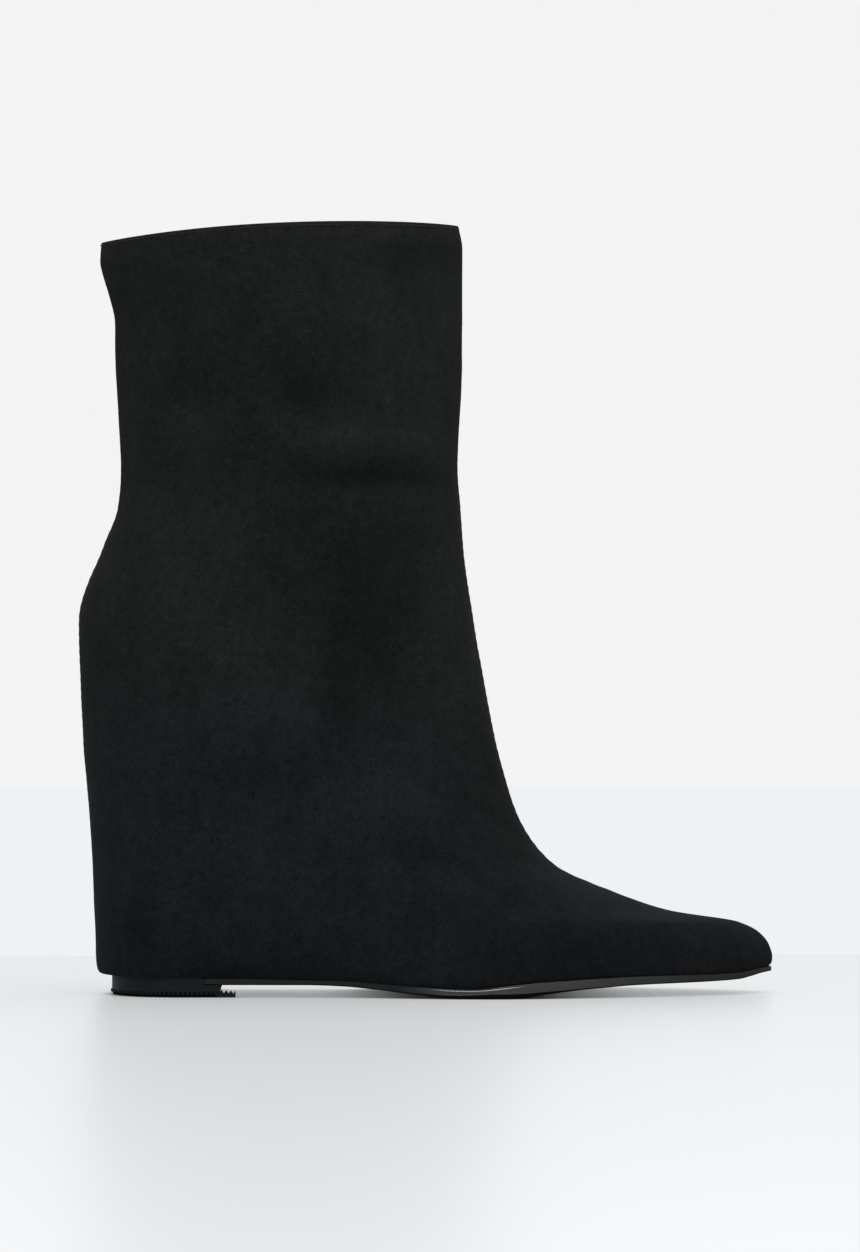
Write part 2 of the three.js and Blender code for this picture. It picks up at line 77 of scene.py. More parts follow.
# zone, back, length, height of back, ball and front, share of the edge's dip,
# heel centre, fore centre, heel and fore half widths, back and front ends
SECTIONS = [
    ("foot", 0.0463, 0.9486, 0.0, 0.0, 0.0, 1.0, 0.105, 0.545, 0.855, 0.958, 0.5, 0.72),
    ("foot", 0.0305, 0.9674, 0.038, 0.033, 0.03, 1.0, 0.115, 0.545, 0.935, 0.98, 0.5, 0.72),
    ("foot", 0.0265, 0.9731, 0.13, 0.105, 0.09, 0.95, 0.121, 0.545, 0.98, 0.996, 0.5, 0.72),
    ("foot", 0.0248, 0.9752, 0.31, 0.254, 0.2, 0.84, 0.125, 0.545, 1.0, 1.0, 0.5, 0.71),
    ("foot", 0.0234, 0.9715, 0.89, 0.586, 0.45, 0.65, 0.125, 0.545, 1.0, 0.99, 0.5, 0.7),
    ("foot", 0.0212, 0.9584, 1.105, 0.862, 0.735, 0.4, 0.128, 0.545, 0.995, 0.965, 0.5, 0.69),
    ("foot", 0.0195, 0.9321, 1.237, 1.015, 0.955, 0.12, 0.133, 0.545, 0.985, 0.93, 0.5, 0.66),
    ("foot", 0.0174, 0.8322, 1.368, 1.073, 1.045, 0.0, 0.152, 0.55, 0.98, 0.88, 0.5, 0.61),
    ("foot", 0.0144, 0.7481, 1.5, 1.158, 1.138, 0.0, 0.17, 0.549, 0.975, 0.86, 0.5, 0.58),
    ("foot", 0.011, 0.6751, 1.63, 1.276, 1.25, 0.0, 0.19, 0.562, 0.97, 0.83, 0.5, 0.54),
    ("foot", 0.0072, 0.6308, 1.763, 1.447, 1.434, 0.0, 0.21, 0.568, 0.97, 0.8, 0.5, 0.52),
    ("foot", 0.0042, 0.6032, 1.934, 1.724, 1.711, 0.0, 0.24, 0.556, 0.995, 0.775, 0.5, 0.5),
    ("foot", 0.0, 0.5705, 2.162, 2.153, 2.146, 0.0, 0.3, 0.536, 1.06, 0.79, 0.52, 0.52),
    ("ankle", 0.0331, 1.0707, 2.318, 2.318, 2.318, 0.0, 0.42, 0.507, 0.945, 0.945, 0.62, 0.62),
    ("ankle", 0.0548, 1.0175, 2.408, 2.408, 2.408, 0.0, 0.46, 0.503, 0.975, 0.975, 0.69, 0.67),
    ("ankle", 0.0595, 1.0, 2.497, 2.497, 2.497, 0.0, 0.49, 0.5, 1.0, 1.0, 0.74, 0.72),
    ("collar", 0.0518, 0.9664, 2.708, 2.716, 2.722, 0.0, 0.49, 0.5, 0.935, 0.935, 0.83, 0.83),
    ("collar", 0.0502, 0.9696, 2.806, 2.832, 2.852, 0.0, 0.49, 0.5, 0.965, 0.965, 0.87, 0.87),
    ("collar", 0.0297, 1.0098, 2.935, 2.952, 2.964, 0.0, 0.49, 0.5, 0.99, 0.99, 0.88, 0.88),
    ("collar", 0.0323, 0.992, 2.9754, 2.9968, 3.0142, 0.0, 0.49, 0.5, 1.0, 1.0, 0.88, 0.88),
]
ZONES = {
    "foot": (SOLE_LENGTH, HEEL_WIDTH / 2, BALL_WIDTH / 2),
    "ankle": (ANKLE_LENGTH, ANKLE_WIDTH / 2, ANKLE_WIDTH / 2),
    "collar": (COLLAR_LENGTH, COLLAR_WIDTH / 2, COLLAR_WIDTH / 2),
}
SWING_AT = [0, 0.2, 0.42, 0.58, 0.72, 0.86, 1]
SWING = [0, -0.15, -1, -0.55, 0.55, 0.85, 0.35]
DIP_AT = [0, 0.22, 0.3, 0.38, 0.44, 0.49, 0.55, 1]
DIP = [0, 0, 0.08, 0.2, 0.55, 0.79, 1, 1]
SPRING_AT = [0, 0.56, 0.58, 0.61, 0.65, 0.7, 0.75, 0.79, 0.85, 0.91, 0.945, 0.97, 1]
SPRING = [0, 0, 0.05, 0.18, 0.33, 0.44, 0.54, 0.6, 0.62, 0.63, 0.68, 0.82, 1]
WAIST_AT = [0, 0.325, 0.38, 0.416, 0.437, 0.466, 0.494, 0.522, 0.545]
WAIST_RISE = [1, 1, 0.9, 0.72, 0.6, 0.4, 0.25, 0.1, 0]
TOE_AT = [0.61, 0.63, 0.65, 0.69, 0.72, 0.75, 0.78, 0.82, 0.9, 0.945, 0.965, 0.98, 1]
TOE_RISE = [0, 0.04, 0.12, 0.28, 0.38, 0.45, 0.52, 0.565, 0.62, 0.685, 0.81, 0.92, 1]

# Suede's black up the shaft, low on the wedge and on the vamp, where the darker black is painted
# shade
SUEDE_HIGH = (0.0080, 0.0091, 0.0086)
SUEDE_LOW = (0.0060, 0.0082, 0.0094)
SUEDE_VAMP_SHADED = (0.0055, 0.0061, 0.0067)

# Soft troughs (-) and ridges (+) pressed into the suede: the side (-1 outer, 1 inner),
# from x, z to x, z, how far the line bows upwards, its depth and its width, all in mm
CREASES = [
    (-1, 46, 181, 130, 174, -4.0, -1.6, 4.4),
    (-1, 50, 190, 130, 182, -1.5, 1.1, 5.5),
    (-1, 6, 232, 40, 222, 1.0, -0.6, 5.0),
    (-1, 2, 168, 46, 172, -1.5, -0.5, 5.0),
    (-1, 44, 158, 84, 84, 2.0, 0.9, 8.0),
    (-1, 76, 152, 96, 92, 4.0, -1.2, 13.0),
    (-1, 88, 46, 160, 19, 9.0, -0.9, 3.6),
    (-1, 104, 25, 140, 30, 1.0, -0.6, 3.2),
    (-1, 96, 62, 130, 54, 3.0, 0.5, 7.0),
    (-1, 118, 72, 141, 71, 0.5, -0.5, 1.8),
    (-1, 84, 229, 124, 222, 3.0, 0.4, 6.0),
    (1, 58, 178, 130, 175, -4.0, -1.2, 4.2),
    (1, 60, 187, 130, 183, -1.5, 0.8, 6.0),
    (1, 6, 228, 36, 218, 1.0, -0.6, 5.0),
    (1, 40, 152, 80, 90, 3.0, 0.7, 8.0),
    (1, 72, 146, 98, 96, 4.0, -0.9, 12.0),
    (1, 98, 44, 152, 22, 7.0, -0.7, 4.0),
    (1, 120, 68, 141, 69, 0.5, -0.5, 1.8),
]

# Patches where the suede is lighter (+) or darker (-): partly the nap brushed lighter or darker,
# partly painted light and shade, as highlights on ridges, the heel's bulge and the tops of the
# collar and vamp, and as shade in creases, hollows and low by the floor. The side (0 both), the
# middle x, z, the half sizes along x and z, and the strength
NAP_AND_PAINTED_LIGHT = [
    (0, 65, 256, 70, 3.5, 0.22),
    (-1, 84, 238, 22, 14, 0.12),
    (-1, 112, 205, 16, 26, 0.12),
    (-1, 126, 110, 12, 40, 0.10),
    (0, 50, 14, 60, 18, -0.16),
    (0, 156, 45, 8, 8, 0.32),
    (0, 172, 35.5, 10, 6, 0.34),
    (0, 192, 29, 13, 4.5, 0.3),
    (-1, 113, 249, 14, 6, -0.22),
    (-1, 66, 214, 32, 22, -0.12),
    (-1, 74, 203, 9, 7, -0.22),
    (-1, 40, 203, 9, 9, -0.18),
    (-1, 34, 192, 8, 5, 0.18),
    (-1, 92, 227, 14, 6, 0.16),
    (-1, 117, 220, 11, 14, 0.12),
    (-1, 94, 187, 26, 5, 0.18),
    (-1, 97, 173.5, 30, 4.5, -0.36),
    (-1, 36, 136, 16, 22, 0.18),
    (-1, 55, 114, 13, 16, 0.16),
    (-1, 72, 93, 7, 15, 0.18),
    (-1, 90, 145, 22, 20, -0.2),
    (-1, 97, 118, 17, 26, -0.24),
    (-1, 87, 99, 8, 11, -0.2),
    (-1, 40, 106, 9, 7, -0.10),
    (-1, 57, 76, 16, 9, -0.12),
    (-1, 108, 66, 18, 13, 0.12),
    (-1, 110, 51, 12, 4, -0.16),
    (-1, 118, 28, 16, 4, -0.16),
    (-1, 22, 25, 5, 11, -0.18),
    (-1, 60, 8, 34, 7, -0.18),
    (-1, 166, 14, 24, 10, -0.18),
    (1, 60, 208, 34, 24, -0.14),
    (1, 98, 176, 30, 5, -0.22),
    (1, 34, 130, 20, 26, 0.14),
    (1, 92, 126, 22, 34, -0.18),
    (1, 60, 60, 30, 16, 0.10),
    (1, 104, 40, 26, 8, -0.16),
    (1, 70, 8, 44, 7, -0.18),
    (1, 168, 16, 26, 10, -0.14),
]


def curve(xs, ys):
    """A smooth curve through the points, with no overshoot between them."""
    xs, ys = np.asarray(xs, float), np.asarray(ys, float)
    slopes = np.diff(ys) / np.diff(xs)
    tangents = harmonic(np.append(slopes[:1], slopes), np.append(slopes, slopes[-1:]))

    def at(x):
        x = np.clip(x, xs[0], xs[-1])
        i = np.clip(np.searchsorted(xs, x) - 1, 0, len(xs) - 2)
        width = xs[i + 1] - xs[i]
        t = (x - xs[i]) / width
        return hermite(t, ys[i], ys[i + 1], tangents[i] * width, tangents[i + 1] * width)

    return at


def harmonic(before, after):
    """The harmonic mean of two slopes, and zero where they turn."""
    same = before * after > 0
    return np.where(same, 2 * before * after / np.where(same, before + after, 1), 0)


def hermite(t, start, end, a, b):
    """A cubic from start to end, with the slopes a and b at its two ends."""
    change = end - start
    return start + t * (a + t * (3 * change - 2 * a - b + t * (a + b - 2 * change)))


def smooth(t):
    s = np.clip(t, 0, 1)
    return s * s * (3 - 2 * s)


def closing(share, end):
    """How much of its width a ring keeps at a share of the way into a rounded end."""
    return (1 - np.clip(share, 0, 1) ** 2) ** end


def station_height(at):
    """The height that a place between two of the four named heights stands for."""
    i = min(int(at), len(STATION_HEIGHTS) - 2)
    return STATION_HEIGHTS[i] + (STATION_HEIGHTS[i + 1] - STATION_HEIGHTS[i]) * (at - i)


def columns():
    """Smooth curves through the table's columns, with lengths and heights in millimetres."""
    rows = []
    for zone, back, long, back_at, ball_at, front_at, edge, hc, fc, heel, fore, be, fe in SECTIONS:
        length, half_heel, half_fore = ZONES[zone]
        start = back * SOLE_LENGTH
        heights = [station_height(at) for at in (back_at, ball_at, front_at)]
        sizes = [start, start + long * length, *heights, edge]
        rows.append([*sizes, hc, fc, heel * half_heel, fore * half_fore, be, fe])
    return [curve(range(len(rows)), values) for values in zip(*rows)]


COLUMNS = columns()
swing_at = curve(SWING_AT, SWING)
dip_at = curve(DIP_AT, DIP)
spring_at = curve(SPRING_AT, SPRING)
waist_rise = curve(WAIST_AT, WAIST_RISE)
toe_rise = curve(TOE_AT, TOE_RISE)


def edge_rise(x):
    """How far the upper's lower edge dips at the ball and rises towards the toe."""
    share = x / SOLE_LENGTH
    return (BALL_DIP + TOE_SPRING) * spring_at(share) - BALL_DIP * dip_at(share)


def underside(x):
    """The sole's clearance over the floor, at the waist and at the toe."""
    share = x / SOLE_LENGTH
    return WAIST_CLEARANCE * waist_rise(share) + TIP_CLEARANCE * toe_rise(share)


def side_points(rows, shares):
    """Points of the outer face for each row and each share from front to back, on the
    inner and on the outer side."""
    r = np.asarray(rows, float)[:, None]
    back, front, back_z, ball_z, front_z, edge, hc, fc, heel, fore, back_end, front_end = (
        column(r) for column in COLUMNS
    )
    along = np.asarray(shares)[None, :]
    x = back + along * (front - back)
    lower, upper = (ball_z - back_z) / BALL_AT, (front_z - ball_z) / (1 - BALL_AT)
    bend = harmonic(lower, upper)
    behind = hermite(along / BALL_AT, back_z, ball_z, lower * BALL_AT, bend * BALL_AT)
    ahead = hermite(
        (along - BALL_AT) / (1 - BALL_AT), ball_z, front_z,
        bend * (1 - BALL_AT), upper * (1 - BALL_AT),
    )
    z = np.where(along < BALL_AT, behind, ahead) + edge * edge_rise(x)
    full = heel + (fore - heel) * smooth((x / SOLE_LENGTH - WAIST_END) / (BALL_AT - WAIST_END))
    closed_behind = closing((hc - along) / hc, back_end)
    closed_ahead = closing((along - fc) / (1 - fc), front_end)
    half = full * closed_behind * closed_ahead
    fade = 1 - smooth((z - FEATHER_HEIGHT) / (HEEL_HEIGHT - FEATHER_HEIGHT))
    middle = SIDE_SWING * fade * swing_at(x / SOLE_LENGTH)
    return np.stack([x, middle + half, z], -1), np.stack([x, middle - half, z], -1)


def ring_grid(rows, steps):
    """The outer face as rings of points: from the toe along the inner side to the back
    and along the outer side to the toe again."""
    i = np.arange(steps + 1) / steps
    shares = (1 - END_CROWDING) * (1 - i) + END_CROWDING * (1 + np.cos(i * math.pi)) / 2
    inner, outer = side_points(rows, shares)
    return np.concatenate([inner, outer[:, -2:0:-1]], 1)


SPACING_AT = [0.0, 0.12, 0.5, 0.85, 1.0]  # shares of a ring where spacing is measured
SPACING_SAMPLES = 1200


def even_rows(spacing):
    """Row numbers whose rings lie about one spacing apart."""
    fine = np.linspace(0, len(SECTIONS) - 1, SPACING_SAMPLES)
    _, outer = side_points(fine, SPACING_AT)
    steps = np.linalg.norm(np.diff(outer, axis=0), axis=-1).max(1)
    run = np.append(0, np.cumsum(steps))
    count = round(run[-1] / spacing)
    return np.interp(np.linspace(0, run[-1], count + 1), run, fine)


def grid_normals(grid):
    around = np.roll(grid, -1, 1) - np.roll(grid, 1, 1)
    up = np.gradient(grid, axis=0)
    normal = np.cross(around, up)
    return normal / np.linalg.norm(normal, axis=-1, keepdims=True)


def patchy(points, scale, seed):
    """Smooth noise between -1 and 1 at each point."""
    flat = points.reshape(-1, 3) / scale + seed
    values = np.array([noise.noise(Vector(p)) for p in flat])
    return values.reshape(points.shape[:-1])


SIDE_BLEND_START = -3  # mm beyond the middle line where what lies on one side begins
SIDE_BLEND = 9
CREASE_ENDS = 0.3  # share of a fold's length over which each of its ends fades
LOW_TOP = 20  # mm from the floor: the low black up to here, then blending into the high one
LOW_BLEND = 130
VAMP_START = 100  # mm from the back: the vamp's black comes in from here
VAMP_BLEND = 50


def on_side(y, side):
    """One on the given side of the boot, fading to nothing at its middle line."""
    return 1 if side == 0 else smooth((y * side - SIDE_BLEND_START) / SIDE_BLEND)


def crease_depth(grid):
    """How far the suede's folds move each point along its normal."""
    x, y, z = np.moveaxis(grid, -1, 0)
    depth = np.zeros_like(x)
    for side, x0, z0, x1, z1, bow, deep, width in CREASES:
        length = math.hypot(x1 - x0, z1 - z0)
        ux, uz = (x1 - x0) / length, (z1 - z0) / length
        t = ((x - x0) * ux + (z - z0) * uz) / length
        offset = (z - z0) * ux - (x - x0) * uz - bow * 4 * t * (1 - t)
        fade = smooth(t / CREASE_ENDS) * smooth((1 - t) / CREASE_ENDS)
        depth += deep * np.exp(-((offset / width) ** 2)) * fade * on_side(y, side)
    return depth


def suede_tone(grid):
    """The black of the suede: neutral up the shaft, bluer low on the wedge and a little
    warmer and darker on the vamp, where the darker black is painted shade."""
    x, _, z = np.moveaxis(grid, -1, 0)
    low = 1 - smooth((z - LOW_TOP) / LOW_BLEND)
    ahead = smooth((x - VAMP_START) / VAMP_BLEND) * low
    weights = [1 - low, low - ahead, ahead]
    colors = [SUEDE_HIGH, SUEDE_LOW, SUEDE_VAMP_SHADED]
    return sum(weight[..., None] * np.array(color) for weight, color in zip(weights, colors))


def nap_and_painted_light_tone(grid):
    """How light or dark the suede lies at each point, 1 on average: the nap's brushing, with
    painted light on ridges and rims and painted shade in creases, hollows and low by the floor.
    """
    x, y, z = np.moveaxis(grid, -1, 0)
    tone = np.ones_like(x)
    for side, middle_x, middle_z, half_x, half_z, strength in NAP_AND_PAINTED_LIGHT:
        away = ((x - middle_x) / half_x) ** 2 + ((z - middle_z) / half_z) ** 2
        tone += strength * np.exp(-away) * on_side(y, side)
    return tone


SEAM_DEPTH = 0.28
SEAM_WIDTH = 0.9
SEAM_BOTTOM = 26  # mm from the floor where the seams come up out of the sole
SEAM_FADE = 14
PUCKER_DEPTH = 0.07
PUCKER_PITCH = 3.1
PUCKER_PLACE = 2.0  # mm beside the seam
PUCKER_WIDTH = 1.3


def seam_depth(grid):
    """The closed seams down the centre front and back: a fine groove and its puckers."""
    _, y, z = np.moveaxis(grid, -1, 0)
    near = np.exp(-((y / SEAM_WIDTH) ** 2))
    beside = np.exp(-(((np.abs(y) - PUCKER_PLACE) / PUCKER_WIDTH) ** 2))
    pucker = PUCKER_DEPTH * np.sin(z * 2 * math.pi / PUCKER_PITCH) * beside
    shown = smooth((z - SEAM_BOTTOM) / SEAM_FADE)
    return (pucker - SEAM_DEPTH * near) * shown


X_SHIFT = -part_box("upper")[0][0] * 1000
ORIGIN = np.array([X_SHIFT, 0, 0])


def mesh_object(name, points, faces, materials):
    """A smooth-shaded piece of the boot from points in millimetres."""
    mesh = bpy.data.meshes.new(name)
    mesh.from_pydata(((np.asarray(points) - ORIGIN) / 1000).tolist(), [], faces)
    mesh.validate()
    mesh.polygons.foreach_set("use_smooth", [True] * len(mesh.polygons))
    for material in materials:
        mesh.materials.append(material)
    obj = bpy.data.objects.new(name, mesh)
    bpy.context.scene.collection.objects.link(obj)
    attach(obj, "root")
    return obj


def ring_faces(count, first, second):
    j = np.arange(count)
    k = (j + 1) % count
    return np.stack([first + j, first + k, second + k, second + j], 1).tolist()


# Materials


def new_material(name):
    material = bpy.data.materials.new(name)
    material.use_nodes = True
    return material, material.node_tree.nodes, material.node_tree.links


def noise_node(nodes, links, coordinates, scale, detail=4.0, roughness=0.6, stretch=None):
    if stretch:
        mapping = nodes.new("ShaderNodeMapping")
        mapping.inputs["Scale"].default_value = stretch
        links.new(coordinates, mapping.inputs["Vector"])
        coordinates = mapping.outputs["Vector"]
    node = nodes.new("ShaderNodeTexNoise")
    node.inputs["Scale"].default_value = scale
    node.inputs["Detail"].default_value = detail
    node.inputs["Roughness"].default_value = roughness
    links.new(coordinates, node.inputs["Vector"])
    return node.outputs["Fac"]


def ramp(nodes, links, value, stops):
    node = nodes.new("ShaderNodeValToRGB")
    elements = node.color_ramp.elements
    while len(elements) < len(stops):
        elements.new(0.5)
    for element, (position, color) in zip(elements, stops):
        element.position = position
        element.color = (*color, 1)
    links.new(value, node.inputs["Fac"])
    return node.outputs["Color"]


def blend_colors(nodes, links, kind, factor, first, second):
    node = nodes.new("ShaderNodeMix")
    node.data_type = "RGBA"
    node.blend_type = kind
    node.inputs["Factor"].default_value = factor
    links.new(first, node.inputs["A"])
    links.new(second, node.inputs["B"])
    return node.outputs["Result"]


def bump(nodes, links, height, distance, strength, before=None):
    node = nodes.new("ShaderNodeBump")
    node.inputs["Distance"].default_value = distance
    node.inputs["Strength"].default_value = strength
    links.new(height, node.inputs["Height"])
    if before:
        links.new(before, node.inputs["Normal"])
    return node.outputs["Normal"]


def suede_material():
    """Black suede: a mottled nap over each point's own black, lighter where the nap is brushed up
    and where highlights are painted, darker where shade is painted, bluer low on the wedge.
    """
    material, nodes, links = new_material("black_suede")
    shader = nodes["Principled BSDF"]
    place = nodes.new("ShaderNodeTexCoord").outputs["Object"]
    clouds = noise_node(nodes, links, place, 75, 5, 0.6, (1.0, 1.0, 0.7))
    nap = noise_node(nodes, links, place, 330, 4, 0.7)
    grain = noise_node(nodes, links, place, 1700, 3, 0.7)
    # Each point's black as painted on the upper: the nap's brushing, with painted light and shade.
    brushed_and_painted_light = nodes.new("ShaderNodeAttribute")
    brushed_and_painted_light.attribute_name = "nap"
    color = brushed_and_painted_light.outputs["Color"]
    for value, low, high in ((clouds, 0.85, 1.16), (nap, 0.76, 1.24), (grain, 0.6, 1.45)):
        mottle = ramp(nodes, links, value, [(0.3, (low,) * 3), (0.7, (high,) * 3)])
        color = blend_colors(nodes, links, "MULTIPLY", 1.0, color, mottle)
    links.new(color, shader.inputs["Base Color"])
    rough = ramp(nodes, links, nap, [(0.3, (0.88,) * 3), (0.7, (1.0,) * 3)])
    links.new(rough, shader.inputs["Roughness"])
    shader.inputs["Specular IOR Level"].default_value = 0.02
    shader.inputs["Sheen Weight"].default_value = 0.012
    shader.inputs["Sheen Roughness"].default_value = 0.4
    shader.inputs["Sheen Tint"].default_value = (0.9, 0.96, 1.0, 1)
    relief = bump(nodes, links, nap, 0.0004, 0.5)
    relief = bump(nodes, links, grain, 0.0003, 0.7, relief)
    links.new(relief, shader.inputs["Normal"])
    return material


ROUGHNESS_SPREAD = 0.06


def plain_material(name, low, high, roughness, grain_scale, relief_mm, strength, shine=0.5):
    """A surface of two close tones with a grain of its own."""
    material, nodes, links = new_material(name)
    shader = nodes["Principled BSDF"]
    place = nodes.new("ShaderNodeTexCoord").outputs["Object"]
    cloud = noise_node(nodes, links, place, 70, 4)
    grain = noise_node(nodes, links, place, grain_scale, 4)
    links.new(ramp(nodes, links, cloud, [(0.3, low), (0.7, high)]), shader.inputs["Base Color"])
    finer, rougher = (roughness - ROUGHNESS_SPREAD,) * 3, (roughness + ROUGHNESS_SPREAD,) * 3
    rough = ramp(nodes, links, grain, [(0.3, finer), (0.7, rougher)])
    links.new(rough, shader.inputs["Roughness"])
    shader.inputs["Specular IOR Level"].default_value = shine
    links.new(bump(nodes, links, grain, relief_mm / 1000, strength), shader.inputs["Normal"])
    return material


SOLE_SPAN = (-0.08, 0.12)  # x in metres over which the sole's finish changes


def sole_material():
    """The moulded sole's black: glossy where it swells at the ball, dull before and behind."""
    material, nodes, links = new_material("sole_black")
    shader = nodes["Principled BSDF"]
    place = nodes.new("ShaderNodeTexCoord").outputs["Object"]
    axes = nodes.new("ShaderNodeSeparateXYZ")
    links.new(place, axes.inputs["Vector"])
    along = nodes.new("ShaderNodeMapRange")
    along.inputs["From Min"].default_value, along.inputs["From Max"].default_value = SOLE_SPAN
    links.new(axes.outputs["X"], along.inputs["Value"])
    share = along.outputs["Result"]
    plain = (0.0135, 0.0137, 0.0136)
    ball = (0.004, 0.0046, 0.0062)
    fore = (0.011, 0.0115, 0.0125)
    body = ramp(nodes, links, share, [
        (0.0, plain), (0.35, plain), (0.42, ball), (0.6, ball), (0.72, fore), (0.86, plain),
    ])
    cloud = noise_node(nodes, links, place, 70, 4)
    mottle = ramp(nodes, links, cloud, [(0.3, (0.82,) * 3), (0.7, (1.18,) * 3)])
    color = blend_colors(nodes, links, "MULTIPLY", 1.0, body, mottle)
    links.new(color, shader.inputs["Base Color"])
    none, most, full, half = (0.0,) * 3, (0.9,) * 3, (1.0,) * 3, (0.5,) * 3
    gloss = ramp(nodes, links, share, [
        (0.0, none), (0.35, none), (0.42, most), (0.62, full), (0.72, half), (0.86, none),
    ])
    links.new(gloss, shader.inputs["Coat Weight"])
    shader.inputs["Coat Roughness"].default_value = 0.12
    shader.inputs["Roughness"].default_value = 0.5
    shader.inputs["Specular IOR Level"].default_value = 0.05
    grain = noise_node(nodes, links, place, 500, 4)
    links.new(bump(nodes, links, grain, 0.00005, 0.25), shader.inputs["Normal"])
    return material


def weave_material():
    """The shaft's textile lining: a fine over and under weave."""
    material, nodes, links = new_material("black_lining")
    shader = nodes["Principled BSDF"]
    place = nodes.new("ShaderNodeTexCoord").outputs["Object"]
    waves = []
    for direction in ("Z", "X"):
        wave = nodes.new("ShaderNodeTexWave")
        wave.bands_direction = direction
        wave.inputs["Scale"].default_value = 500
        wave.inputs["Distortion"].default_value = 0.6
        links.new(place, wave.inputs["Vector"])
        waves.append(wave.outputs["Fac"])
    higher = nodes.new("ShaderNodeMath")
    higher.operation = "MAXIMUM"
    links.new(waves[0], higher.inputs[0])
    links.new(waves[1], higher.inputs[1])
    weave = higher.outputs["Value"]
    cloud = noise_node(nodes, links, place, 60, 4)
    thread = ramp(nodes, links, weave, [(0.0, (0.55,) * 3), (1.0, (1.1,) * 3)])
    dark, pale = (0.020, 0.020, 0.021), (0.030, 0.030, 0.031)
    tone = ramp(nodes, links, cloud, [(0.3, dark), (0.7, pale)])
    color = blend_colors(nodes, links, "MULTIPLY", 1.0, tone, thread)
    links.new(color, shader.inputs["Base Color"])
    shader.inputs["Roughness"].default_value = 0.85
    shader.inputs["Sheen Weight"].default_value = 0.1
    links.new(bump(nodes, links, weave, 0.0002, 0.5), shader.inputs["Normal"])
    return material


SUEDE = suede_material()
LINING = weave_material()
SOLE = sole_material()
# name, darker and lighter tone, roughness, grain's scale, relief in mm and its strength
RUBBER = plain_material(
    "lift_rubber", (0.0040, 0.0062, 0.0080), (0.0063, 0.0087, 0.0111), 0.6, 900, 0.08, 0.4,
    shine=0.08,
)
# The tread's matt black: the underside's own black, and painted shade on the sole's lower corner,
# along the lift's foot and in the valleys of its ribs.
TREAD_AND_SHADE = plain_material(
    "tread_black_and_shade", (0.003, 0.0032, 0.0035), (0.005, 0.0052, 0.0056), 0.9, 500, 0.08, 0.4,
    shine=0.0,
)
SOCK = plain_material(
    "sock_leather", (0.016, 0.0155, 0.015), (0.026, 0.025, 0.024), 0.55, 700, 0.12, 0.5
)
FOAM = plain_material(
    "wedge_foam", (0.45, 0.42, 0.36), (0.55, 0.52, 0.46), 0.85, 400, 0.3, 0.5
)
THREAD = plain_material(
    "black_thread", (0.010, 0.0105, 0.0100), (0.018, 0.0185, 0.0175), 0.7, 2500, 0.05, 0.4,
    shine=0.08,
)


# The suede upper: outer face, turned collar edge, inner face and lower edge

SIDE_STEPS = 140
ROW_SPACING = 1.15
LINING_EVERY = 6  # of the inner face's rings, one in six is kept
SUEDE_RINGS_INSIDE = 2  # of these, how many are still turned suede at the collar
RIM_STEPS = 7
RIM_RISE = 0.4
RIM_ROW = 18.2  # row from which the relief fades towards the collar
RIM_BLEND = 0.8
RIM_LOSS = 0.7
BASE_BLEND = 3  # rows over which it comes in from the lower edge
UNEVENNESS = [(0.10, 14, 3.0), (0.05, 5, 9.0)]  # depth, size, seed
INSIDE_TONE = 0.75  # of the high black, on the turned edge


def outer_face(rows):
    """The outer face with its folds, seams and unevenness, and the bare form's normals."""
    outer = ring_grid(rows, SIDE_STEPS)
    normals = grid_normals(outer)
    depth = crease_depth(outer) + seam_depth(outer)
    for deep, size, seed in UNEVENNESS:
        depth += deep * patchy(outer, size, seed)
    rim_fade = 1 - smooth((rows[:, None] - RIM_ROW) / RIM_BLEND) * RIM_LOSS
    base_fade = smooth(rows[:, None] / BASE_BLEND)
    return outer + normals * (depth * rim_fade * base_fade)[..., None], normals


def rim_rings(top, top_inside):
    """The collar's turned edge, in a low arch from the outer to the inner face."""
    middle, reach = (top + top_inside) / 2, (top - top_inside) / 2
    rings = []
    for angle in np.arange(1, RIM_STEPS) * math.pi / RIM_STEPS:
        lift = np.array([0, 0, RIM_RISE * math.sin(angle)])
        rings.append(middle + reach * math.cos(angle) + lift)
    return rings


def paint_nap_and_painted_light(piece, outer):
    """Gives each point its own black, with its painted light and shade; the turned edge takes one
    plain tone.
    """
    values = np.ones((len(piece.data.vertices), 4))
    values[:, :3] = np.array(SUEDE_HIGH) * INSIDE_TONE
    tone = suede_tone(outer) * nap_and_painted_light_tone(outer)[..., None]
    values[: outer.shape[0] * outer.shape[1], :3] = tone.reshape(-1, 3)
    nap = piece.data.attributes.new("nap", "FLOAT_COLOR", "POINT")
    nap.data.foreach_set("color", values.ravel())


def make_upper():
    rows = even_rows(ROW_SPACING)
    outer, normals = outer_face(rows)
    inner = ring_grid(rows, SIDE_STEPS) - normals * WALL
    rim = rim_rings(outer[-1], inner[-1])
    inside = [inner[-1], *inner[-2::-LINING_EVERY]]
    if not np.allclose(inside[-1], inner[0]):
        inside.append(inner[0])
    rings = [*outer, *rim, *inside]
    count = outer.shape[1]
    faces = []
    for i in range(len(rings)):
        faces += ring_faces(count, i * count, (i + 1) % len(rings) * count)
    piece = mesh_object("upper_suede", np.concatenate(rings), faces, [SUEDE, LINING])
    lining_from = (len(outer) + len(rim) + SUEDE_RINGS_INSIDE) * count
    lining_to = (len(rings) - 1) * count
    index = [int(lining_from <= i < lining_to) for i in range(len(faces))]
    piece.data.polygons.foreach_set("material_index", index)
    paint_nap_and_painted_light(piece, outer)
    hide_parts("upper")


